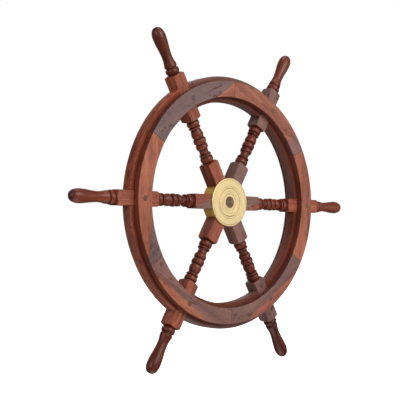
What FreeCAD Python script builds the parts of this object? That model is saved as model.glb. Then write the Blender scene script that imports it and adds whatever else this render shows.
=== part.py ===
import FreeCAD, Part
import math
import os

# Ship steering wheel: six turned spokes, a laminated rim of felloes and a brass hub.
# Wheel centre at the origin, wheel axis along Y, front face towards -Y, +Z up. All sizes in mm.

V = FreeCAD.Vector
ORIGIN = V(0, 0, 0)
AXIS = V(0, 1, 0)

# overall
TIP_RADIUS = 457.2            # 36 in wheel over the handles
SPOKES = 6
STEP_DEG = 360.0 / SPOKES
GAP = 0.3                     # clearance between neighbouring pieces

# rim
RIM_INNER, RIM_OUTER = 246.5, 308.5
FACING_INNER, FACING_OUTER = 256.6, 296.3
FRONT_FACE_Y, FRONT_SEAT_Y = -34.0, -17.5
REAR_SEAT_Y, REAR_FACE_Y = 8.5, 25.0
RIM_ROUND = 2.4
FACING_ROUND = 1.6

# spokes
SPOKE_SIZE = 35.0             # square blocks
SPOKE_HALF = SPOKE_SIZE / 2.0
HUB_BLOCK_END = 110.0
RIM_BLOCK_START = 222.0
RIM_BLOCK_END = 340.0
BLOCK_TURN_R = 26.0           # larger than half the block's diagonal
WEDGE_START_R = 21.6

# hub
BORE_R = 14.5
BUSH_OUTER_R = 20.2
SPIN_CLEARANCE = 0.05
HUB_R = 55.0
PLATE_R = 59.3
PLATE_FACE_Y, PLATE_BACK_Y = -21.8, -17.8
REAR_PLATE_R = 46.0
REAR_PLATE_FACE_Y = 21.8
BUSH_FRONT_Y, BUSH_REAR_Y = -21.4, 21.8

# fasteners
PLUG_R = 6.2
PLUG_HEIGHT = 5.0
PLUG_PROUD = 0.4
PLUG_RADIUS_AT = 277.0
SCREW_END_Y = 1.0
SCREW_R, SCREW_HEAD_R, SCREW_PCD_R = 2.4, 4.6, 34.0


def save(name, shape):
    os.makedirs("parts", exist_ok=True)
    shape.exportStep(os.path.join("parts", name + ".step"))


def about_axis(shape, degrees):
    """Turn a copy about the wheel's axis; positive goes from +X towards +Z."""
    turned = shape.copy()
    turned.rotate(ORIGIN, V(0, -1, 0), degrees)
    return turned


def ring(inner, outer, y0, y1, front_round=0.0, rear_round=0.0):
    """A flat ring about the wheel's axis with small rounds on its outer and inner edges."""
    a, b = front_round, rear_round
    points = []
    if a:
        points += [V(inner, y0 + a, 0), V(inner + a * 0.3, y0 + a * 0.3, 0), V(inner + a, y0, 0),
                   V(outer - a, y0, 0), V(outer - a * 0.3, y0 + a * 0.3, 0), V(outer, y0 + a, 0)]
    else:
        points += [V(inner, y0, 0), V(outer, y0, 0)]
    if b:
        points += [V(outer, y1 - b, 0), V(outer - b * 0.3, y1 - b * 0.3, 0), V(outer - b, y1, 0),
                   V(inner + b, y1, 0), V(inner + b * 0.3, y1 - b * 0.3, 0), V(inner, y1 - b, 0)]
    else:
        points += [V(outer, y1, 0), V(inner, y1, 0)]
    face = Part.Face(Part.makePolygon(points + [points[0]]))
    return face.revolve(ORIGIN, AXIS, 360)


def sector(centre_deg, width_deg, trim, reach=500.0):
    """A tall wedge about the wheel's axis, drawn in by trim on both of its flat sides."""
    half = math.radians(width_deg / 2.0)
    tip = trim / math.sin(half)
    points = [V(tip, 0, 0), V(reach, 0, (reach - tip) * math.tan(half)),
              V(reach, 0, -(reach - tip) * math.tan(half))]
    wedge = Part.Face(Part.makePolygon(points + [points[0]])).extrude(V(0, 160, 0))
    wedge.translate(V(0, -80, 0))
    return about_axis(wedge, centre_deg)


def square_bar(r0, r1, half, y_half):
    """A square bar along +X."""
    return Part.makeBox(r1 - r0, 2 * y_half, 2 * half, V(r0, -y_half, -half))


def cylinder_y(radius, y0, y1, x=0.0, z=0.0):
    return Part.makeCylinder(radius, y1 - y0, V(x, y0, z), AXIS)


# ---------------------------------------------------------------- spokes

def block_shoulder(at, towards, turned_r):
    """Rounded end of a square block: quarter curve from the corners down to the turned part."""
    depth = 7.5
    out = []
    for k in range(1, 7):
        a = math.pi / 2 * k / 6
        out.append((at + towards * depth * math.sin(a),
                    turned_r + (BLOCK_TURN_R - turned_r) * math.cos(a)))
    return out


def bulge(centre, half_width, radius, crown):
    """A rounded bead: edge radius to crown radius and back."""
    out = []
    for k in range(7):
        a = math.pi * k / 6
        out.append((centre - half_width * math.cos(a), radius + (crown - radius) * math.sin(a)))
    return out


def waist_turning():
    """Turned beads between the hub block and the rim block."""
    pts = block_shoulder(HUB_BLOCK_END - 7.5, 1, 14.2)
    pts += [(112.0, 12.8)]
    pts += bulge(119.6, 6.8, 12.8, 16.0)
    pts += [(127.2, 12.0)]
    pts += bulge(131.0, 2.8, 12.2, 14.6)
    pts += [(134.6, 12.0), (140.3, 11.7), (146.0, 12.7)]
    pts += bulge(153.3, 6.2, 12.9, 14.9)
    pts += [(160.2, 12.7)]
    pts += bulge(168.2, 7.2, 13.2, 15.7)
    pts += [(176.1, 12.7), (178.0, 13.8), (181.0, 15.0), (185.0, 15.2), (190.0, 14.4), (195.0, 13.1), (199.0, 12.2)]
    pts += bulge(203.0, 2.8, 12.2, 14.8)
    pts += [(206.6, 12.2)]
    pts += bulge(213.5, 6.0, 12.8, 16.0)
    pts += [(220.4, 12.8)]
    pts += list(reversed(block_shoulder(RIM_BLOCK_START + 7.5, -1, 14.2)))
    return pts


def grip_turning():
    """Turned handle beyond the rim block."""
    pts = block_shoulder(RIM_BLOCK_END - 7.5, 1, 17.0)
    pts += [(341.0, 16.4), (342.2, 13.8)]
    pts += bulge(349.3, 6.2, 13.2, 16.9)
    pts += [(356.2, 12.8), (357.4, 13.0), (358.6, 14.4)]
    grip = [(360.0, 15.3), (364.0, 15.2), (369.0, 13.9), (376.0, 12.7), (384.0, 12.3), (392.0, 12.6),
            (400.0, 13.3), (408.0, 14.2), (416.0, 15.2), (424.0, 15.95), (431.0, 16.3), (437.0, 16.1),
            (443.0, 15.1), (448.0, 13.5), (452.0, 11.2), (455.0, 8.2), (456.6, 4.6), (TIP_RADIUS, 0.0)]
    return pts + grip


def spoke_blank():
    """One piece of timber from the hub to the end of the handle, along +X."""
    outline = [(0.0, 0.0), (0.0, BLOCK_TURN_R), (HUB_BLOCK_END - 7.5, BLOCK_TURN_R)]
    outline += waist_turning()
    outline += [(RIM_BLOCK_START + 7.5, BLOCK_TURN_R), (RIM_BLOCK_END - 7.0, BLOCK_TURN_R)]
    outline += grip_turning()
    points = []
    for rho, r in outline:
        p = V(rho, r, 0)
        if not points or (p - points[-1]).Length > 0.02:
            points.append(p)
    face = Part.Face(Part.makePolygon(points + [points[0]]))
    turned = face.revolve(ORIGIN, V(1, 0, 0), 360)
    return turned.common(square_bar(0, 500.0, SPOKE_HALF, SPOKE_HALF))


def spoke():
    """Inner end cut to a wedge so that the six spokes meet round the hub sleeve."""
    body = spoke_blank().common(sector(0, STEP_DEG, GAP / 2.0))
    body = body.cut(cylinder_y(SCREW_R + 0.1, SCREW_END_Y - 1, SPOKE_HALF + 1, SCREW_PCD_R, 0.0))
    return body.cut(cylinder_y(WEDGE_START_R, -40, 40))


# ---------------------------------------------------------------- rim

def spoke_channel(centre_deg):
    """Room for the square block of one spoke through the rim."""
    bar = square_bar(200.0, 340.0, SPOKE_HALF + GAP, SPOKE_HALF + GAP)
    return about_axis(bar, centre_deg)


def middle_felloe(k):
    """Thick felloe between two spokes, with dowel sockets at both ends left plain."""
    centre = STEP_DEG * (k + 0.5)
    body = ring(RIM_INNER, RIM_OUTER, FRONT_SEAT_Y, REAR_SEAT_Y, RIM_ROUND, RIM_ROUND)
    body = body.common(sector(centre, STEP_DEG, 0.1))
    for side in (-0.5, 0.5):
        body = body.cut(spoke_channel(centre + side * STEP_DEG))
    return body


def plug_sites():
    """One plug over each spoke crossing."""
    sites = []
    for k in range(SPOKES):
        a = math.radians(STEP_DEG * k)
        sites.append((PLUG_RADIUS_AT * math.cos(a), PLUG_RADIUS_AT * math.sin(a)))
    return sites


def front_felloe(k):
    """Facing felloe centred over a spoke, butted to its neighbours midway between spokes."""
    body = ring(FACING_INNER, FACING_OUTER, FRONT_FACE_Y, FRONT_SEAT_Y - GAP, FACING_ROUND, 0.0)
    body = body.common(sector(STEP_DEG * k, STEP_DEG, GAP / 2.0))
    for x, z in plug_sites():
        body = body.cut(cylinder_y(PLUG_R + 0.05, FRONT_FACE_Y - 5, FRONT_FACE_Y + PLUG_HEIGHT + 0.3, x, z))
    return body


def rear_felloe(k):
    """Rear facing felloe, housed over the back of its spoke."""
    body = ring(FACING_INNER, FACING_OUTER, REAR_SEAT_Y + GAP, REAR_FACE_Y, 0.0, FACING_ROUND)
    body = body.common(sector(STEP_DEG * k, STEP_DEG, GAP / 2.0))
    return body.cut(spoke_channel(STEP_DEG * k))


def plugs():
    """Wooden plugs over the screws of the front felloes, slightly domed."""
    out = []
    for x, z in plug_sites():
        body = cylinder_y(PLUG_R, FRONT_FACE_Y, FRONT_FACE_Y + PLUG_HEIGHT, x, z)
        cap = Part.makeCone(PLUG_R - 0.8, PLUG_R, PLUG_PROUD, V(x, FRONT_FACE_Y - PLUG_PROUD, z), AXIS)
        out.append(body.fuse(cap).removeSplitter())
    return Part.makeCompound(out)


# ---------------------------------------------------------------- hub

def hub_bush():
    """Plain bearing sleeve on the shaft; the wheel turns round it."""
    sleeve = cylinder_y(BUSH_OUTER_R, BUSH_FRONT_Y, BUSH_REAR_Y)
    return sleeve.cut(cylinder_y(BORE_R, BUSH_FRONT_Y - 1, BUSH_REAR_Y + 1))


def screw_sites():
    return [(SCREW_PCD_R * math.cos(math.radians(STEP_DEG * k)),
             SCREW_PCD_R * math.sin(math.radians(STEP_DEG * k))) for k in range(SPOKES)]


def front_plate():
    """Brass disc over the hub ends of the spokes, with turned lines on its face."""
    hole = BUSH_OUTER_R + SPIN_CLEARANCE
    r = PLATE_R
    f = PLATE_FACE_Y
    groove = 0.6
    outline = [(hole, PLATE_BACK_Y), (hole, f + 0.5), (hole + 0.5, f), (0.565 * r, f), (0.575 * r, f + groove),
               (0.60 * r, f + groove), (0.61 * r, f), (0.66 * r, f), (0.668 * r, f + groove * 0.5),
               (0.682 * r, f + groove * 0.5), (0.69 * r, f), (0.915 * r, f), (0.923 * r, f + groove * 0.8),
               (0.94 * r, f + groove * 0.8), (0.948 * r, f), (r - 0.8, f), (r, f + 0.8), (r, PLATE_BACK_Y)]
    points = [V(a, b, 0) for a, b in outline]
    return Part.Face(Part.makePolygon(points + [points[0]])).revolve(ORIGIN, AXIS, 360)


def rear_plate():
    """Brass disc behind the spokes, with holes for its screws."""
    hole = BUSH_OUTER_R + SPIN_CLEARANCE
    body = ring(hole, REAR_PLATE_R, SPOKE_HALF + GAP, REAR_PLATE_FACE_Y, 0.0, 0.5)
    for x, z in screw_sites():
        body = body.cut(cylinder_y(SCREW_R + 0.3, SPOKE_HALF, REAR_PLATE_FACE_Y + 1, x, z))
    return body


def hub_segment(k):
    """Brass piece that fills the hub between two neighbouring spokes."""
    centre = STEP_DEG * (k + 0.5)
    body = cylinder_y(HUB_R, -SPOKE_HALF, SPOKE_HALF).common(sector(centre, STEP_DEG, 0.1))
    bar = square_bar(0.0, 90.0, SPOKE_HALF + GAP, SPOKE_HALF + GAP + 2.0)
    for side in (-0.5, 0.5):
        body = body.cut(about_axis(bar, centre + side * STEP_DEG))
    return body


def hub_segments():
    return Part.makeCompound([hub_segment(k) for k in range(SPOKES)])


def rear_screws():
    """Round-head screws through the rear plate into the inner ends of the spokes."""
    out = []
    for x, z in screw_sites():
        shank = cylinder_y(SCREW_R, SCREW_END_Y, REAR_PLATE_FACE_Y + 0.6, x, z)
        head = cylinder_y(SCREW_HEAD_R, REAR_PLATE_FACE_Y + GAP, REAR_PLATE_FACE_Y + 1.5, x, z)
        dome = Part.makeCone(SCREW_HEAD_R, SCREW_HEAD_R * 0.55, 1.3, V(x, REAR_PLATE_FACE_Y + 1.5, z), AXIS)
        slot = Part.makeBox(SCREW_HEAD_R * 2.2, 1.4, 1.1,
                            V(x - SCREW_HEAD_R * 1.1, REAR_PLATE_FACE_Y + 1.7, z - 0.55))
        out.append(shank.fuse([head, dome]).removeSplitter().cut(slot))
    return Part.makeCompound(out)


# ---------------------------------------------------------------- build

for number in range(SPOKES):
    save("spoke_%d" % (number + 1), about_axis(spoke(), STEP_DEG * number))
    save("front_felloe_%d" % (number + 1), front_felloe(number))
    save("middle_felloe_%d" % (number + 1), middle_felloe(number))
    save("rear_felloe_%d" % (number + 1), rear_felloe(number))
save("front_plugs", plugs())
save("hub_front_plate", front_plate())
save("hub_rear_plate", rear_plate())
save("hub_segments", hub_segments())
save("rear_screws", rear_screws())
save("hub_bush", hub_bush())
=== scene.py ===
import bmesh
import bpy
import math
import numpy as np
from functools import partial
from mathutils import Matrix, Vector


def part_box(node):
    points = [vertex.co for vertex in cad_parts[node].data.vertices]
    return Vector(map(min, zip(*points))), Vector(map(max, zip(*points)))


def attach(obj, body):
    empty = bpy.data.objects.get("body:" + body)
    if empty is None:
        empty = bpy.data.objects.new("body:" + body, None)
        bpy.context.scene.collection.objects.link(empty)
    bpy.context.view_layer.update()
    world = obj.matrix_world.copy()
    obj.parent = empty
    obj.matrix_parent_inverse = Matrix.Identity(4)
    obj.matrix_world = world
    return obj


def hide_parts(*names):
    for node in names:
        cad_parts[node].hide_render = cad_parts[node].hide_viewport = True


# Ship steering wheel. The wheel's axis is Y, its front faces -Y and +Z is up. Spoke k and the
# facing felloes k are centred 60 * k degrees from +X towards +Z, the thick felloes midway between.
# Blender works in metres: outlines given in millimetres are turned into metres by MM.

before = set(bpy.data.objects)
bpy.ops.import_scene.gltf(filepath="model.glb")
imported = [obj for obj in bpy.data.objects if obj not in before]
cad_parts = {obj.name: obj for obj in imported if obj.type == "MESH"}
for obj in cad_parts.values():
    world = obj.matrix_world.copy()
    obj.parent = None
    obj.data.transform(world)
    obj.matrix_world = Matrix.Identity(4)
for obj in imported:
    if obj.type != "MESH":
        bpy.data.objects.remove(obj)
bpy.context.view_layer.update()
MM = 0.001
STEP_DEG = 60.0


# ---------------------------------------------------------------- sizes

spoke_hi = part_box("spoke_1")[1]
TIP = spoke_hi.x                                    # end of a handle
HALF = spoke_hi.y                                   # half of the square stock
front_lo, front_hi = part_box("front_felloe_1")
FACE_OUT = front_hi.x                               # radii of the facing felloes
FACE_IN = FACE_OUT - 39.7 * MM
FRONT_Y, FRONT_SEAT = front_lo.y, front_hi.y
RIM_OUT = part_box("middle_felloe_2")[1].z            # radii of the thick felloes
RIM_IN = RIM_OUT - 62.0 * MM
MID_Y0, MID_Y1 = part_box("middle_felloe_1")[0].y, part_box("middle_felloe_1")[1].y
REAR_Y0, REAR_Y1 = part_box("rear_felloe_1")[0].y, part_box("rear_felloe_1")[1].y
plate_lo, plate_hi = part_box("hub_front_plate")
PLATE_R = plate_hi.x
PLATE_BORE = 20.25 * MM
SLEEVE_BORE = 14.62 * MM                            # just outside the shaft hole's wall
GAP = 0.3 * MM                                      # clearance on each side of a joint

# one spoke, in millimetres from the axis
BLOCKS = (110.0, 222.0, 340.0)                      # end of hub block, start and end of rim block
BLOCK_R = 26.0                                      # beyond the corners of the square stock
TURNED_BELOW = 20.0                                 # a smaller radius has been turned round
SQUARENESS = 44                                     # exponent that rounds the stock's corners
GRIP = ((361.0, 15.4), (365.0, 15.0), (370.0, 13.7), (376.0, 12.75), (384.0, 12.3), (392.0, 12.6),
        (400.0, 13.3), (408.0, 14.2), (416.0, 15.2), (424.0, 15.95), (431.0, 16.3), (437.0, 16.1),
        (443.0, 15.1), (448.0, 13.5), (452.0, 11.2), (455.0, 8.0), (456.7, 4.0))

# wooden plugs
PLUG_AT = 277.0 * MM                                # distance from the wheel's axis
PLUG_R, PLUG_HOLE_R = 6.2 * MM, 6.25 * MM
PLUG_FOOT = 5.0 * MM
PLUG_PROUD = 0.35 * MM

# fine turned grooves of the front plate: share of its radius, half width and depth in millimetres
GROOVES = ((0.455, 0.5, 0.25), (0.585, 0.95, 0.75), (0.672, 0.6, 0.35), (0.93, 0.6, 0.45))


# ---------------------------------------------------------------- tone of each piece of timber, and painted reflection and shade

# 0 is red timber, 1 is greyish; by the number of the spoke or felloe; on the spokes, facing and
# thick felloes the grey is painted reflection and shade, on the rear felloes a random tone
SPOKE_REFLECTION_TONES = (0.85, 0.95, 0.10, 0.15, 0.15, 0.85)
FACING_REFLECTION_TONES = (0.15, 0.30, 1.0, 0.10, 0.22, 0.80)
RING_REFLECTION_TONES = (0.85, 1.0, 0.15, 0.35, 1.0, 0.40)
REAR_TONES = (0.6, 0.4, 0.3, 0.7, 0.5, 0.45)
# depth of colour of the turned parts, and how much darker each grip is made
WAIST_STAIN = (0.75, 0.95, 0.50, 0.72, 0.75, 0.90)
GRIP_STAIN = (0.70, 0.90, 0.90, 0.78, 0.95, 1.0)
GRIP_DARKENING = (0.0, 0.0, 0.40, 0.0, 0.42, 0.60)
# painted reflection patches: second tone, softness of the edge in millimetres, and the lines
# (x, z in millimetres, direction in degrees) beyond which the second tone shows
FACING_REFLECTION_SPLITS = {
    1: (0.80, 16.0, ((224, 186, -42.4),)),
    2: (0.22, 1.0, ((-31, 271, -52.9),)),
    3: (0.95, 1.0, ((-260, -97, -4.2), (-277, -12, -90.0))),
    4: (0.75, 4.0, ((-163, -224, 53.3),)),
    5: (0.20, 5.0, ((94, -262, -46.7), (181, -207, -57.4))),
}
SPOKE_REFLECTION_SPLITS = {
    0: (0.12, 1.0, ((90, -6.4, -62.5),)),
    3: (0.90, 1.0, ((-86.5, -4.3, -65.0),)),
}
FLANK_SHADE = 0.85                                  # painted shade on the curved sides of the facing felloes
PLUG_STAIN = 0.35


# ---------------------------------------------------------------- mesh helpers

def spin(points, degrees):
    """Turn points about the wheel's axis; positive goes from +X towards +Z."""
    a = math.radians(degrees)
    p = np.array(points, float).reshape(-1, 3)
    out = p.copy()
    out[:, 0] = p[:, 0] * math.cos(a) - p[:, 2] * math.sin(a)
    out[:, 2] = p[:, 0] * math.sin(a) + p[:, 2] * math.cos(a)
    return out


def shade(mesh, sharp_deg):
    mesh.shade_smooth()
    mesh.set_sharp_from_angle(angle=math.radians(sharp_deg))


def mesh_object(name, verts, faces, sharp_deg=32.0):
    """Linked object with outward normals, smooth except at edges sharper than sharp_deg."""
    mesh = bpy.data.meshes.new(name)
    mesh.from_pydata([tuple(v) for v in verts], [], faces)
    mesh.validate()
    mesh.update()
    ob = bpy.data.objects.new(name, mesh)
    bpy.context.scene.collection.objects.link(ob)
    bm = bmesh.new()
    bm.from_mesh(mesh)
    bmesh.ops.recalc_face_normals(bm, faces=bm.faces)
    bm.to_mesh(mesh)
    bm.free()
    shade(mesh, sharp_deg)
    return ob


def between(rings, closed):
    """Quads between neighbouring rings of equal point count, and back to the first if closed."""
    n, count = len(rings[0]), len(rings)
    faces = []
    for i in range(count if closed else count - 1):
        a, b = i * n, (i + 1) % count * n
        for j in range(n):
            k = (j + 1) % n
            faces.append((a + j, a + k, b + k, b + j))
    return faces


def loft(rings):
    """Solid through the rings, with flat caps at both ends; the far cap is the last face."""
    n, last = len(rings[0]), (len(rings) - 1) * len(rings[0])
    faces = between(rings, False)
    faces.append(tuple(range(n)))
    faces.append(tuple(last + j for j in reversed(range(n))))
    return np.vstack(rings), faces


def lathe(outline, steps, origin=(0, 0, 0)):
    """Closed outline of (radius, y) turned about an axis along Y through the origin given."""
    rings = []
    for s in range(steps):
        a = 2 * math.pi * s / steps
        ring = np.array([(r * math.cos(a), y, r * math.sin(a)) for r, y in outline])
        rings.append(ring + np.array(origin, float))
    return np.vstack(rings), between(rings, True)


def gather(parts):
    """One vertex array and face list from several."""
    verts, faces, base = [], [], 0
    for v, f in parts:
        verts.append(v)
        faces += [tuple(i + base for i in face) for face in f]
        base += len(v)
    return np.vstack(verts), faces


def set_float(mesh, name, values):
    at = mesh.attributes.get(name) or mesh.attributes.new(name, "FLOAT", "POINT")
    at.data.foreach_set("value", np.asarray(values, np.float32))


def set_vector(mesh, name, values):
    at = mesh.attributes.get(name) or mesh.attributes.new(name, "FLOAT_VECTOR", "POINT")
    at.data.foreach_set("vector", np.asarray(values, np.float32).ravel())


def coords(mesh):
    co = np.zeros(len(mesh.vertices) * 3, np.float32)
    mesh.vertices.foreach_get("co", co)
    return co.reshape(-1, 3).astype(float)


# ---------------------------------------------------------------- what the timber material reads

def mark_reflection_split(ob, reflection_split):
    """Distances past each line of a painted reflection patch; positive on the side of the second
    tone.
    """
    co = coords(ob.data)
    tone, soft, lines = reflection_split or (0.0, 1.0, ())
    far = [np.full(len(co), 1.0 if lines else -1.0)] * 2
    for i, (x, z, deg) in enumerate(lines):
        a = math.radians(deg)
        off = (co[:, 0] - x * MM) * math.cos(a) + (co[:, 2] - z * MM) * math.sin(a)
        far[i] = off / (soft * MM)
    set_float(ob.data, "past_a", far[0])
    set_float(ob.data, "past_b", far[1])
    set_float(ob.data, "reflection_tone", np.full(len(co), tone))


def mark_timber(ob, grain, tone, turned, dark, reflection_split=None):
    """Attributes of a wooden piece: grain runs along the X of its grain coordinates."""
    count = len(ob.data.vertices)
    set_vector(ob.data, "grain", grain)
    set_float(ob.data, "tone", np.broadcast_to(tone, count))
    set_float(ob.data, "turned", np.broadcast_to(turned, count))
    set_float(ob.data, "dark", np.broadcast_to(dark, count))
    mark_reflection_split(ob, reflection_split)


def board_grain(ob, centre_deg, seed):
    """Grain straight along a board's chord, at its own place in the timber."""
    return spin(coords(ob.data), 90.0 - centre_deg) + np.array([1.91, 0.83, 1.37]) * seed


def radius_and_depth(ob):
    co = coords(ob.data)
    return np.hypot(co[:, 0], co[:, 2]), co[:, 1]


def facing_flank_shade(ob, y0, y1):
    """Painted shade on the curved sides of a facing felloe, clear of its front and back faces."""
    r, y = radius_and_depth(ob)
    on_side = np.minimum(r - FACE_IN, FACE_OUT - r) < 0.25 * MM
    between_faces = np.minimum(y - y0, y1 - y) > 0.2 * MM
    return np.where(on_side & between_faces, FLANK_SHADE, 0.0)


def ring_shade(ob):
    """Painted shade of a thick felloe: a painted shadow beside the facing's outer edge, and painted
    shade all over the inner side.
    """
    r, y = radius_and_depth(ob)
    outer = np.where(y < MID_Y0 + 1.0 * MM, np.clip(1.0 - (r - FACE_OUT) / (13 * MM), 0, 1), 0.0)
    inner = np.where(y < MID_Y0 + 2.3 * MM, 0.95, 0.45)
    return np.where((r < FACE_IN + 5 * MM) & (y < MID_Y1 - 0.1 * MM), inner, outer)


# ---------------------------------------------------------------- spokes

def shoulder(edge, towards, turned, depth=7.5):
    """Rounded end of a square block, down to the turned radius."""
    return [(edge + towards * depth * math.sin(a), turned + (BLOCK_R - turned) * math.cos(a))
            for a in np.linspace(0.0, math.pi / 2, 15)]


def bead(centre, half, edge, crown, steps=15):
    """Round swelling from the edge radius up to the crown radius."""
    return [(centre - half * math.cos(a), edge + (crown - edge) * math.sin(a) ** 0.9)
            for a in np.linspace(0.0, math.pi, steps)]


def cove(x0, r0, x1, r1, low, steps=7):
    """Shallow hollow between two radii."""
    out = []
    for t in np.linspace(0.0, 1.0, steps):
        base = r0 + (r1 - r0) * t
        out.append((x0 + (x1 - x0) * t, base - (min(r0, r1) - low) * math.sin(math.pi * t)))
    return out


def hermite(xs, ys, x):
    """Smooth curve through the keys."""
    last = len(xs) - 1
    i = int(np.clip(np.searchsorted(xs, x) - 1, 0, last - 1))
    h = xs[i + 1] - xs[i]
    t = (x - xs[i]) / h
    before, after = ((ys[min(k + 1, last)] - ys[max(k - 1, 0)])
                     / (xs[min(k + 1, last)] - xs[max(k - 1, 0)]) for k in (i, i + 1))
    value = (2 * t ** 3 - 3 * t ** 2 + 1) * ys[i] + (-2 * t ** 3 + 3 * t ** 2) * ys[i + 1]
    value += ((t ** 3 - 2 * t ** 2 + t) * before + (t ** 3 - t ** 2) * after) * h
    return max(0.3, value)


def waist_outline():
    """Beads between the hub block and the rim block."""
    out = shoulder(BLOCKS[0] - 7.5, 1, 14.2) + [(112.0, 12.8)]
    out += bead(119.6, 6.8, 12.8, 16.0) + [(127.2, 12.0)]
    out += bead(131.0, 2.6, 11.8, 15.2) + cove(134.4, 11.8, 146.2, 11.9, 11.0)
    out += bead(153.3, 6.4, 11.3, 15.1) + [(160.2, 11.2)]
    out += bead(168.2, 7.4, 11.3, 15.9, 19) + [(176.1, 11.2)]
    out += [(176.9 + 21.6 * t, 11.4 + 3.6 * math.sin(math.pi * t ** 0.62) ** 0.8)
            for t in np.linspace(0.02, 0.98, 19)]
    out += bead(203.0, 2.6, 11.6, 15.3) + [(206.4, 11.6)]
    out += bead(213.5, 6.0, 12.8, 16.0) + [(220.4, 12.8)]
    return out + list(reversed(shoulder(BLOCKS[1] + 7.5, -1, 14.2)))


def handle_outline():
    """Collar and grip outside the rim block."""
    out = shoulder(BLOCKS[2] - 7.0, 1, 17.0, 7.0) + [(341.0, 16.4), (342.2, 13.8)]
    out += bead(349.3, 6.2, 13.2, 16.9)
    out += [(356.2, 12.8), (357.4, 13.0), (358.4, 14.3), (359.4, 15.2)]
    at, radii = np.array(GRIP).T
    stations = list(np.linspace(361.0, 448.0, 46)) + [450.2, 452.2, 453.9, 455.2, 456.2, 456.8]
    return out + [(x, hermite(at, radii, x)) for x in stations]


def spoke_outline():
    """(distance from the axis, turned radius) along one spoke, in millimetres."""
    out = [(x, BLOCK_R) for x in (21.8, 28.0, 35.3, 60.0, 85.0)] + waist_outline()
    out += [(x, BLOCK_R) for x in (245.0, 275.0, 305.0, 325.0)] + handle_outline()
    clean = []
    for x, r in out:
        if not clean or x > clean[-1][0] + 0.05:
            clean.append((x, r))
    return clean


def section_angles():
    """Directions around a spoke, closer together towards the corners of the square."""
    side = [0.0, 0.22, 0.44, 0.63, 0.78, 0.88, 0.94, 0.975]
    quarter = [math.atan(v) for v in [-s for s in reversed(side[1:])] + side + [1.0]]
    return np.array([a + q * math.pi / 2 for q in range(4) for a in quarter])


def spoke_rings(outline, directions):
    """Square stock turned down to the outline, its inner end cut to a wedge."""
    c, s = np.cos(directions), np.sin(directions)
    corner = (np.abs(c) ** SQUARENESS + np.abs(s) ** SQUARENESS) ** (1 / SQUARENESS)
    square = HALF / MM / corner
    rings = []
    for x, r in outline:
        reach = np.minimum(r, square)
        y, z = reach * c, reach * s
        wedge = (x - 0.3) * math.tan(math.radians(STEP_DEG / 2))
        if wedge < HALF / MM:
            z = np.clip(z, -wedge, wedge)
        rings.append(np.stack([np.full_like(y, x), y, z], 1) * MM)
    return rings


def spoke_mesh(k):
    outline = spoke_outline()
    directions = section_angles()
    around = len(directions)
    verts, faces = loft(spoke_rings(outline, directions))
    faces.pop()                                     # a fan around the tip instead of a flat cap
    base, tip = len(verts) - around, len(verts)
    faces += [(base + j, base + (j + 1) % around, tip) for j in range(around)]
    verts = np.vstack([verts, [[TIP - 0.05 * MM, 0, 0]]])
    ob = mesh_object("turned_spoke_%d" % (k + 1), spin(verts, STEP_DEG * k), faces, 38.0)

    at, radii = np.array(outline).T
    turned, on_grip = radii < TURNED_BELOW, at > BLOCKS[2] - 5
    # painted shade in the turned hollows, and darker grips
    crown = np.array([min(radii[np.abs(at - x) < 4.5].max(), 16.5) for x in at])
    hollow = turned * np.clip((crown - radii - 0.7) / 2.6, 0, 1)
    dark = np.maximum(hollow, GRIP_DARKENING[k] * (on_grip & turned))
    stain = turned * np.where(on_grip, GRIP_STAIN[k], WAIST_STAIN[k])
    mark_timber(ob, verts + np.array([3.7, 1.3, 0.9]) * 0.37 * k, SPOKE_REFLECTION_TONES[k],
                np.append(np.repeat(stain, around), GRIP_STAIN[k]),
                np.append(np.repeat(dark, around), GRIP_DARKENING[k]), SPOKE_REFLECTION_SPLITS.get(k))
    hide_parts("spoke_%d" % (k + 1))
    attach(ob, "wheel")
    return ob


# ---------------------------------------------------------------- felloes

def rounded_section(r0, r1, y0, y1, front, rear, inset=0.0):
    """Closed section (radius, y): rounded corners of size front at y0 and rear at y1."""
    r0, r1, y0, y1 = r0 + inset, r1 - inset, y0 + inset, y1 - inset
    out = []
    corners = ((r0, y0, 1, 1, front), (r1, y0, -1, 1, front),
               (r1, y1, -1, -1, rear), (r0, y1, 1, -1, rear))
    start = (math.pi, 1.5 * math.pi, 0.0, 0.5 * math.pi)
    for (r, y, sr, sy, rad), a0 in zip(corners, start):
        for a in np.linspace(a0, a0 + math.pi / 2, 6):
            out.append((r + sr * rad + rad * math.cos(a), y + sy * rad + rad * math.sin(a)))
    return out


def end_and_body(chamfer, *shape):
    """Section at a felloe's chamfered ends, and the one along its length."""
    return rounded_section(*shape, chamfer), rounded_section(*shape)


def with_steps(section, radii):
    """Extra points on the front face at the given radii."""
    y_low = min(y for r, y in section)
    on_face = [abs(y - y_low) < 1e-6 for r, y in section]
    n = len(section)

    def length(i):
        return abs(section[(i + 1) % n][0] - section[i][0])

    i = max((k for k in range(n) if on_face[k] and on_face[(k + 1) % n]), key=length)
    return section[:i + 1] + [(r, y_low) for r in radii] + section[i + 1:]


def span(a0, o0, a1, o1, steps):
    """Stations from one angle and offset to another."""
    return [(a0 + (a1 - a0) * t, o0 + (o1 - o0) * t) for t in np.linspace(0, 1, steps)]


def ends_in(stations, chamfer):
    """The end stations with their neighbours a chamfer's length further in."""
    (a0, o0), (a1, o1) = stations[0], stations[-1]
    return [stations[0], (a0, o0 + chamfer)] + stations[1:-1] + [(a1, o1 - chamfer), stations[-1]]


def felloe_mesh(name, centre_deg, stations, sections):
    """stations: (angle in radians, offset in metres); sections: one closed section per station."""
    rings = []
    for (alpha, off), section in zip(stations, sections):
        angles = [(r, y, alpha + math.asin(off / r)) for r, y in section]
        rings.append(np.array([(r * math.cos(a), y, r * math.sin(a)) for r, y, a in angles]))
    verts, faces = loft(rings)
    return mesh_object(name, spin(verts, centre_deg), faces, 34.0)


def plug_place(k):
    a = math.radians(STEP_DEG * k)
    return PLUG_AT * math.cos(a), PLUG_AT * math.sin(a)


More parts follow.
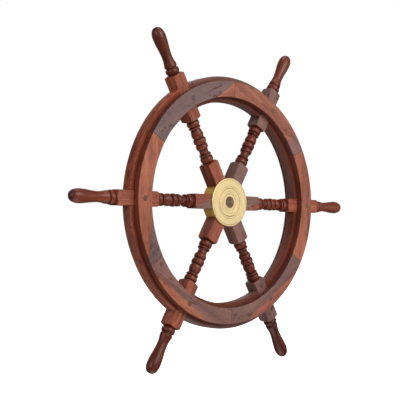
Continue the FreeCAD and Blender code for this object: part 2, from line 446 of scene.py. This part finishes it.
def bore_plug_hole(ob, k):
    x, z = plug_place(k)
    turns = np.linspace(0, 2 * math.pi, 41)[:-1]
    rings = [np.array([(x + PLUG_HOLE_R * math.cos(t), y, z + PLUG_HOLE_R * math.sin(t))
                       for t in turns]) for y in (FRONT_Y - 4 * MM, FRONT_Y + 5.3 * MM)]
    cutter = mesh_object("cutter", *loft(rings))
    mod = ob.modifiers.new("holes", "BOOLEAN")
    mod.operation, mod.solver, mod.object = "DIFFERENCE", "EXACT", cutter
    dg = bpy.context.evaluated_depsgraph_get()
    bored = bpy.data.meshes.new_from_object(ob.evaluated_get(dg))
    ob.modifiers.clear()
    ob.data = bored
    bpy.data.objects.remove(cutter)
    shade(bored, 34)


def front_felloe(k):
    half = math.radians(STEP_DEG / 2)
    chamfer = 0.6 * MM
    end, body = end_and_body(chamfer, FACE_IN, FACE_OUT, FRONT_Y, FRONT_SEAT, 1.7 * MM, 0.3 * MM)
    stations = ends_in(span(-half, GAP, half, -GAP, 33), chamfer)
    ob = felloe_mesh("facing_felloe_front_%d" % (k + 1), STEP_DEG * k, stations,
                     [end] + [body] * (len(stations) - 2) + [end])
    bore_plug_hole(ob, k)
    mark_timber(ob, board_grain(ob, STEP_DEG * k, k + 1), FACING_REFLECTION_TONES[k], 0.0,
                facing_flank_shade(ob, FRONT_Y, FRONT_SEAT), FACING_REFLECTION_SPLITS.get(k))
    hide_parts("front_felloe_%d" % (k + 1))
    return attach(ob, "wheel")


def middle_felloe(k):
    half, side = math.radians(STEP_DEG / 2), HALF + GAP
    centre = STEP_DEG * k + STEP_DEG / 2
    chamfer = 0.8 * MM
    steps = [FACE_IN - 5 * MM, FACE_IN, FACE_OUT, FACE_OUT + 6 * MM]
    end, body = (with_steps(section, steps) for section in end_and_body(
        chamfer, RIM_IN, RIM_OUT, MID_Y0, MID_Y1, 2.4 * MM, 2.4 * MM))
    stations = ends_in(span(-half, side, half, -side, 31), chamfer)
    ob = felloe_mesh("thick_felloe_%d" % (k + 1), centre, stations,
                     [end] + [body] * (len(stations) - 2) + [end])
    mark_timber(ob, board_grain(ob, centre, k + 9), RING_REFLECTION_TONES[k], 0.0, ring_shade(ob))
    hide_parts("middle_felloe_%d" % (k + 1))
    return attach(ob, "wheel")


def rear_felloe(k):
    """Like a front felloe, but notched at its middle to clear the spoke."""
    half, side = math.radians(STEP_DEG / 2), HALF + GAP
    chamfer = 0.5 * MM
    end, body = end_and_body(chamfer, FACE_IN, FACE_OUT, REAR_Y0, REAR_Y1, 0.3 * MM, 1.7 * MM)
    notched = rounded_section(FACE_IN, FACE_OUT, side, REAR_Y1, 0.3 * MM, 1.7 * MM)
    runs = ((span(-half, GAP / 2, 0.0, -side, 15), body), (span(0.0, -side, 0.0, side, 5), notched),
            (span(0.0, side, half, -GAP / 2, 15), body))
    stations = ends_in([s for run, section in runs for s in run], chamfer)
    sections = [end] + [section for run, section in runs for s in run] + [end]
    ob = felloe_mesh("facing_felloe_rear_%d" % (k + 1), STEP_DEG * k, stations, sections)
    mark_timber(ob, board_grain(ob, STEP_DEG * k, k + 17), REAR_TONES[k], 0.0,
                facing_flank_shade(ob, REAR_Y0, REAR_Y1))
    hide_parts("rear_felloe_%d" % (k + 1))
    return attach(ob, "wheel")


def plugs():
    """Slightly domed plugs, end grain outwards."""
    top, foot = FRONT_Y - PLUG_PROUD, FRONT_Y + PLUG_FOOT
    dome = ((0.45, 0.03), (0.8, 0.12), (0.95, 0.3), (1.0, 0.6))
    outline = [(0.02 * MM, top)] + [(PLUG_R * share, top + fall * MM) for share, fall in dome]
    outline += [(PLUG_R, foot), (0.02 * MM, foot)]
    parts, grain = [], []
    for k in range(6):
        x, z = plug_place(k)
        v, f = lathe(outline, 40, (x, 0, z))
        parts.append((v, f))
        grain.append(spin(v - np.array([x, 0, z]), 111.0 * k) + 0.21 * (3 * k + 1))
    ob = mesh_object("wooden_plugs", *gather(parts), 40.0)
    tones = np.repeat(FACING_REFLECTION_TONES, len(ob.data.vertices) // 6)
    mark_timber(ob, np.vstack(grain), tones, 0.0, PLUG_STAIN)
    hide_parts("front_plugs")
    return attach(ob, "wheel")


# ---------------------------------------------------------------- hub plate

def groove(share, half_width, depth):
    """Points across one turned groove in the plate's front face."""
    w, d, at, face = half_width * MM, depth * MM, share * PLATE_R, plate_lo.y
    return [(at - w, face), (at - w * 0.55, face + d * 0.75), (at, face + d),
            (at + w * 0.55, face + d * 0.75), (at + w, face)]


def front_plate():
    """Turned disc with fine concentric lines, a soft edge and a broken edge at the bore."""
    face, back, edge = plate_lo.y, plate_hi.y, 1.0 * MM
    outline = [(PLATE_BORE, back), (PLATE_BORE, face + 0.45 * MM),
               (PLATE_BORE + 0.2 * MM, face + 0.12 * MM), (PLATE_BORE + 0.55 * MM, face)]
    for one in GROOVES:
        outline += groove(*one)
    for a in np.linspace(0, math.pi / 2, 6):
        outline.append((PLATE_R - edge + edge * math.sin(a), face + edge - edge * math.cos(a)))
    outline += [(PLATE_R, back - 0.4 * MM), (PLATE_R - 0.4 * MM, back)]
    ob = mesh_object("turned_front_plate", *lathe(outline, 160), 30.0)
    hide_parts("hub_front_plate")
    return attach(ob, "wheel")


# ---------------------------------------------------------------- node helpers

def new_material(name):
    m = bpy.data.materials.new(name)
    m.use_nodes = True
    nt = m.node_tree
    nt.nodes.clear()
    out = nt.nodes.new("ShaderNodeOutputMaterial")
    bsdf = nt.nodes.new("ShaderNodeBsdfPrincipled")
    nt.links.new(bsdf.outputs[0], out.inputs[0])
    return m, nt, bsdf


def plug_in(nt, socket, value):
    """Link a node's output to the socket, or set the socket's own value."""
    if isinstance(value, bpy.types.NodeSocket):
        nt.links.new(value, socket)
    elif isinstance(value, tuple) and socket.type == "RGBA":
        socket.default_value = (*value[:3], 1.0)
    else:
        socket.default_value = value


def node(nt, kind, inputs=None, **props):
    n = nt.nodes.new(kind)
    for key, value in props.items():
        setattr(n, key, value)
    for key, value in (inputs or {}).items():
        plug_in(nt, n.inputs[key], value)
    return n


def maths(nt, op, a, b=0.0, clamp=False):
    return node(nt, "ShaderNodeMath", {0: a, 1: b}, operation=op, use_clamp=clamp).outputs[0]


def arithmetic(nt):
    """Adding, subtracting and multiplying in one node tree."""
    return [partial(maths, nt, op) for op in ("ADD", "SUBTRACT", "MULTIPLY")]


def ramp(nt, value, stops):
    n = node(nt, "ShaderNodeValToRGB", {0: value})
    el = n.color_ramp.elements
    while len(el) < len(stops):
        el.new(0.5)
    for e, (pos, col) in zip(el, stops):
        e.position = pos
        e.color = (*col, 1.0)
    return n.outputs[0]


def grey(v):
    return (v, v, v)


def fade(nt, value, off, full):
    """Nothing below off, all above full."""
    return ramp(nt, value, [(off, grey(0.0)), (full, grey(1.0))])


def mix(nt, factor, a, b, blend="MIX"):
    return node(nt, "ShaderNodeMix", {0: factor, 6: a, 7: b},
                data_type="RGBA", blend_type=blend).outputs[2]


def stretched(nt, vector, scale):
    return node(nt, "ShaderNodeVectorMath", {0: vector, 1: scale}, operation="MULTIPLY").outputs[0]


def noise(nt, vector, scale, detail=4.0, rough=0.55, distortion=0.0):
    return node(nt, "ShaderNodeTexNoise", {
        "Vector": vector, "Scale": scale, "Detail": detail,
        "Roughness": rough, "Distortion": distortion}).outputs[0]


def attribute(nt, name, output="Fac"):
    return node(nt, "ShaderNodeAttribute", attribute_name=name).outputs[output]


def bump(nt, height, strength, distance):
    return node(nt, "ShaderNodeBump", {"Strength": strength, "Distance": distance,
                                       "Height": height}).outputs[0]


def scaled(colour, factor):
    return tuple(min(1.0, c * factor) for c in colour)


# ---------------------------------------------------------------- timber

def board_tone_and_reflection(nt):
    """First tone, or the second beyond both of the piece's lines; the grey tones and these lines
    paint reflection patches.
    """
    add, sub, mul = arithmetic(nt)
    tone_a, reflection_tone = attribute(nt, "tone"), attribute(nt, "reflection_tone")
    nearest = maths(nt, "MINIMUM", attribute(nt, "past_a"), attribute(nt, "past_b"))
    return add(tone_a, mul(add(nearest, 0.5, True), sub(reflection_tone, tone_a)))


def wandering(nt, vec):
    """Grain coordinates that drift sideways along the board."""
    wander = noise(nt, stretched(nt, vec, (1.0, 3.0, 3.0)), 4.0, 2.0)
    push = node(nt, "ShaderNodeCombineXYZ", {1: maths(nt, "MULTIPLY", wander, 0.012),
                                             2: maths(nt, "MULTIPLY", wander, 0.016)}).outputs[0]
    return node(nt, "ShaderNodeVectorMath", {0: vec, 1: push}, operation="ADD").outputs[0]


def knocked(nt, vec, tone, body, light, deep):
    """Round knocks, short dents and fine scratches; returns the colour and how deep they go."""
    add, sub, mul = arithmetic(nt)
    cells = node(nt, "ShaderNodeTexVoronoi", {"Vector": stretched(nt, vec, (1.0, 2.2, 2.2)),
                                              "Scale": 24.0, "Randomness": 1.0})
    knock = mul(ramp(nt, cells.outputs["Distance"], [(0.045, grey(1.0)), (0.085, grey(0.0))]),
                fade(nt, noise(nt, vec, 9.0, 1.0), 0.50, 0.58))
    body = mix(nt, mul(knock, 0.75), body, scaled(deep, 0.22))
    dents = noise(nt, stretched(nt, vec, (45.0, 110.0, 110.0)), 1.0, 2.5, 0.6, 0.8)
    where = fade(nt, noise(nt, vec, 14.0, 1.0), 0.44, 0.53)
    dent = mul(mul(fade(nt, dents, 0.575, 0.625), where), add(0.60, mul(tone, 0.40)))
    body = mix(nt, mul(dent, 0.72), body, scaled(deep, 0.35))
    scratches = noise(nt, stretched(nt, vec, (70.0, 900.0, 260.0)), 1.0, 2.0, 0.5, 1.2)
    body = mix(nt, mul(fade(nt, scratches, 0.66, 0.70), 0.18), body, light)
    return body, maths(nt, "MAXIMUM", knock, mul(dent, 0.6))


def wood(name, light, mid, deep, greyish, rough, coat, coat_rough, spec=0.5,
         stain=(0.045, 0.008, 0.004)):
    """Lacquered hardwood: straight grain, pores, darker figure, handling marks, worn arrises,
    painted grey reflection, painted shade and shadow.
    """
    m, nt, bsdf = new_material(name)
    add, sub, mul = arithmetic(nt)
    vec = attribute(nt, "grain", "Vector")
    tone, turned, dark = board_tone_and_reflection(nt), attribute(nt, "turned"), attribute(nt, "dark")
    flat = sub(1.0, turned)
    drift = wandering(nt, vec)
    figure = noise(nt, stretched(nt, drift, (3.0, 60.0, 60.0)), 1.0, 5.0, 0.6, 0.4)
    fine = noise(nt, stretched(nt, drift, (22.0, 520.0, 520.0)), 1.0, 3.0, 0.6)
    pores = noise(nt, stretched(nt, drift, (110.0, 1500.0, 1500.0)), 1.0, 1.0, 0.5)
    broad = noise(nt, stretched(nt, vec, (5.0, 14.0, 14.0)), 1.0, 3.0, 0.5)

    body = ramp(nt, add(mul(figure, 0.62), mul(fine, 0.38)),
                [(0.30, deep), (0.46, mid), (0.60, light)])
    # the grey mixed in by the tone is painted reflection and shade on the flat faces
    body = mix(nt, mul(sub(tone, 0.1, True), mul(flat, 0.80)), body, greyish)
    body = mix(nt, turned, body, mix(nt, 1.0, body, (0.40, 0.23, 0.17), "MULTIPLY"))
    clouds = ramp(nt, broad, [(0.32, grey(0.80)), (0.68, grey(1.12))])
    body = mix(nt, 1.0, body, clouds, "MULTIPLY")
    pore = fade(nt, pores, 0.60, 0.70)
    body = mix(nt, mul(pore, add(0.12, mul(flat, 0.33))), body, scaled(deep, 0.30))
    body, knock = knocked(nt, vec, tone, body, light, deep)
    # dark mixes in painted shade in turned hollows and on shaded sides, a painted shadow beside the
    # facings, and darker grips and plugs; worn arrises show lighter
    body = mix(nt, mul(dark, 0.85), body, stain)
    arris = fade(nt, node(nt, "ShaderNodeNewGeometry").outputs["Pointiness"], 0.52, 0.60)
    worn = mul(arris, fade(nt, noise(nt, vec, 60.0, 3.0), 0.42, 0.62))
    body = mix(nt, mul(worn, 0.07), body, scaled(light, 1.5))
    plug_in(nt, bsdf.inputs["Base Color"], body)

    gloss = sub(add(rough, mul(sub(broad, 0.5), 0.18)), mul(turned, 0.05))
    gloss = add(add(gloss, mul(pore, 0.12)), mul(knock, 0.2), True)
    plug_in(nt, bsdf.inputs["Roughness"], gloss)
    bsdf.inputs["Coat Weight"].default_value = coat
    bsdf.inputs["Coat Roughness"].default_value = coat_rough
    bsdf.inputs["Specular IOR Level"].default_value = spec

    height = sub(sub(mul(figure, 0.25), mul(pore, 0.10)), mul(knock, 1.4))
    height = mul(add(height, mul(broad, 1.4)), add(0.15, mul(flat, 0.85)))
    plug_in(nt, bsdf.inputs["Normal"], bump(nt, height, 0.12, 0.0006))
    plug_in(nt, bsdf.inputs["Coat Normal"], bump(nt, broad, 0.12, 0.0008))
    return m


# ---------------------------------------------------------------- brass

def brass(name, light, deep, rough, lathe_marks=1.0, tarnish=0.3, metallic=1.0, rings=(), bore=0.0):
    """Turned brass: concentric tool marks and faint tarnish.

    rings: (share of the plate's radius, strength) of lines with dirt in them; bore: radius within
    which the metal has a worn, paler colour."""
    m, nt, bsdf = new_material(name)
    add, sub, mul = arithmetic(nt)
    pos = node(nt, "ShaderNodeTexCoord").outputs["Object"]
    x, y, z = node(nt, "ShaderNodeSeparateXYZ", {0: pos}).outputs
    radius = maths(nt, "SQRT", add(mul(x, x), mul(z, z)))
    across = node(nt, "ShaderNodeCombineXYZ", {0: mul(radius, 2200.0), 1: mul(y, 2600.0)})
    marks = noise(nt, across.outputs[0], 1.0, 3.0, 0.6)
    cloud = noise(nt, pos, 34.0, 5.0, 0.6, 0.6)
    stain = fade(nt, noise(nt, pos, 240.0, 3.0, 0.6), 0.62, 0.74)

    col = ramp(nt, cloud, [(0.32, deep), (0.62, light)])
    col = mix(nt, mul(stain, tarnish), col, scaled(deep, 0.35))
    tool_lines = ramp(nt, marks, [(0.35, grey(0.90)), (0.65, grey(1.05))])
    col = mix(nt, 1.0, col, tool_lines, "MULTIPLY")
    for share, strength in rings:
        off = maths(nt, "ABSOLUTE", sub(radius, share * PLATE_R))
        near = sub(1.0, maths(nt, "DIVIDE", off, 0.9 * MM), True)
        col = mix(nt, mul(near, strength), col, (0.20, 0.11, 0.03))
    if bore:
        inside = maths(nt, "LESS_THAN", radius, bore)
        col = mix(nt, mul(inside, 0.90), col, (0.82, 0.66, 0.54))
    plug_in(nt, bsdf.inputs["Base Color"], col)
    bsdf.inputs["Metallic"].default_value = metallic
    bsdf.inputs["Specular IOR Level"].default_value = 0.5

    gloss = add(rough, mul(sub(marks, 0.5), 0.16 * lathe_marks))
    gloss = add(add(gloss, mul(stain, 0.2)), mul(sub(cloud, 0.5), 0.2), True)
    plug_in(nt, bsdf.inputs["Roughness"], gloss)
    height = add(mul(marks, 0.6 * lathe_marks), mul(cloud, 0.12))
    plug_in(nt, bsdf.inputs["Normal"], bump(nt, height, 0.16, 0.0002))
    return m


# ---------------------------------------------------------------- the pieces and their materials

# each stain colour is also the colour of the painted shade and shadow that dark mixes in
spoke_wood = wood(
    "spoke_wood", light=(0.430, 0.125, 0.062), mid=(0.270, 0.060, 0.028),
    deep=(0.095, 0.018, 0.009), greyish=(0.165, 0.125, 0.120),
    rough=0.42, coat=0.18, coat_rough=0.32, spec=0.26, stain=(0.045, 0.007, 0.003))
facing_wood = wood(
    "facing_wood", light=(0.480, 0.165, 0.090), mid=(0.340, 0.096, 0.050),
    deep=(0.135, 0.032, 0.018), greyish=(0.100, 0.106, 0.122),
    rough=0.46, coat=0.16, coat_rough=0.30, spec=0.26, stain=(0.062, 0.007, 0.002))
rim_wood = wood(
    "rim_wood", light=(0.360, 0.085, 0.034), mid=(0.210, 0.039, 0.015),
    deep=(0.075, 0.013, 0.006), greyish=(0.185, 0.155, 0.150),
    rough=0.44, coat=0.12, coat_rough=0.34, spec=0.14, stain=(0.120, 0.015, 0.002))
plug_wood = wood(
    "plug_wood", light=(0.300, 0.100, 0.060), mid=(0.200, 0.062, 0.036),
    deep=(0.085, 0.024, 0.015), greyish=(0.100, 0.085, 0.088),
    rough=0.46, coat=0.25, coat_rough=0.24, spec=0.35)
plate_brass = brass(
    "plate_brass", light=(0.90, 0.73, 0.41), deep=(0.85, 0.65, 0.33), rough=0.44, tarnish=0.06,
    rings=((0.930, 0.55), (0.672, 0.40), (0.585, 0.95), (0.455, 0.20), (0.346, 0.55)))
hub_brass = brass(
    "hub_brass", light=(1.0, 0.58, 0.11), deep=(0.85, 0.45, 0.08), rough=0.36,
    lathe_marks=0.8, tarnish=0.20, metallic=0.30)
bush_metal = brass(
    "bush_metal", light=(0.92, 0.74, 0.42), deep=(0.80, 0.60, 0.31), rough=0.48,
    tarnish=0.2, bore=SLEEVE_BORE)


def dress(ob, material):
    ob.data.materials.clear()
    ob.data.materials.append(material)


def redress(name, material):
    """New material for a CAD node, which is otherwise left as it is."""
    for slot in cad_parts[name].material_slots:
        slot.material = material


for k in range(6):
    dress(spoke_mesh(k), spoke_wood)
    dress(front_felloe(k), facing_wood)
    dress(middle_felloe(k), rim_wood)
    dress(rear_felloe(k), facing_wood)
dress(plugs(), plug_wood)
dress(front_plate(), plate_brass)
for name in ("hub_segments", "hub_rear_plate", "rear_screws"):
    redress(name, hub_brass)
redress("hub_bush", bush_metal)


# ---------------------------------------------------------------- floor

def bright_paper():
    """Plain pale paper that glows evenly, with a barely visible fleck."""
    m, nt, bsdf = new_material("floor_paper")
    fleck = noise(nt, node(nt, "ShaderNodeTexCoord").outputs["Object"], 40.0, 3.0)
    plug_in(nt, bsdf.inputs["Base Color"], ramp(nt, fleck, [(0.3, grey(0.891)), (0.7, grey(0.90))]))
    bsdf.inputs["Roughness"].default_value = 0.9
    bsdf.inputs["Emission Color"].default_value = (1.0, 1.0, 1.0, 1.0)
    bsdf.inputs["Emission Strength"].default_value = 1.0
    return m


FLOOR_HALF = 9.0
floor_z = -TIP - 12.0 * MM                          # clear of a handle that points straight down
floor = mesh_object("floor", [(x * FLOOR_HALF, y * FLOOR_HALF, floor_z)
                              for x, y in ((-1, -1), (1, -1), (1, 1), (-1, 1))],
                    [(0, 1, 2, 3)], 60.0)
dress(floor, bright_paper())
floor.visible_glossy = False
floor.visible_diffuse = False
floor.visible_shadow = False


# ---------------------------------------------------------------- lights

NEUTRAL = (1.0, 1.0, 1.0)
LIGHTS = (                                          # name, place, side, power, colour
    ("key", (0.1, -2.8, 1.4), 2.2, 80.0, (1.0, 0.95, 0.89)),
    ("front_right", (2.1, -2.0, 0.2), 1.6, 9.0, NEUTRAL),
    ("left_fill", (-2.8, -0.5, 0.7), 1.4, 25.0, NEUTRAL),
    ("back", (0.8, 2.8, 0.8), 2.4, 30.0, NEUTRAL),
    ("bounce", (-0.4, -0.4, -2.2), 2.0, 24.0, NEUTRAL),
    ("top", (0.2, 0.1, 2.6), 1.2, 14.0, NEUTRAL),
)


def soft_light(name, place, side, power, colour):
    """Square area light that faces the wheel's centre."""
    data = bpy.data.lights.new(name, "AREA")
    data.shape = "SQUARE"
    data.size, data.energy, data.color = side, power, colour
    ob = bpy.data.objects.new(name, data)
    bpy.context.scene.collection.objects.link(ob)
    ob.location = place
    ob.rotation_euler = (-Vector(place)).to_track_quat("-Z", "Y").to_euler()


for light in LIGHTS:
    soft_light(*light)

# the backdrop is white to the camera and gives a faint even light to the object
world = bpy.data.worlds.new("studio")
world.use_nodes = True
wt = world.node_tree
shown = wt.nodes["Background"]
shown.inputs["Color"].default_value = (1.0, 1.0, 1.0, 1.0)
shown.inputs["Strength"].default_value = 1.0
lit = node(wt, "ShaderNodeBackground", {"Color": (1.0, 0.98, 0.97), "Strength": 0.17})
to_camera = node(wt, "ShaderNodeLightPath").outputs["Is Camera Ray"]
both = node(wt, "ShaderNodeMixShader", {0: to_camera, 1: lit.outputs[0], 2: shown.outputs[0]})
wt.links.new(both.outputs[0], wt.nodes["World Output"].inputs[0])
bpy.context.scene.world = world
bpy.context.scene.view_settings.view_transform = "Standard"


# ---------------------------------------------------------------- camera

CAMERA_AT = (-1.4780, -1.5014, -0.0699)
CAMERA_LENS = 76.83                                 # on a sensor 36 mm wide
YAW, PITCH, ROLL = math.radians(42.96), math.radians(2.04), math.radians(0.86)

cam_data = bpy.data.cameras.new("camera")
cam_data.sensor_width = 36.0
cam_data.lens = CAMERA_LENS
cam = bpy.data.objects.new("camera", cam_data)
bpy.context.scene.collection.objects.link(cam)
ahead = Vector((math.sin(YAW) * math.cos(PITCH), math.cos(YAW) * math.cos(PITCH), math.sin(PITCH)))
level_right = Vector((math.cos(YAW), -math.sin(YAW), 0.0))
level_up = level_right.cross(ahead)
right = level_right * math.cos(ROLL) + level_up * math.sin(ROLL)
up = level_up * math.cos(ROLL) - level_right * math.sin(ROLL)
turn = Matrix((right, up, -ahead)).transposed().to_4x4()
cam.matrix_world = Matrix.Translation(CAMERA_AT) @ turn
bpy.context.scene.camera = cam
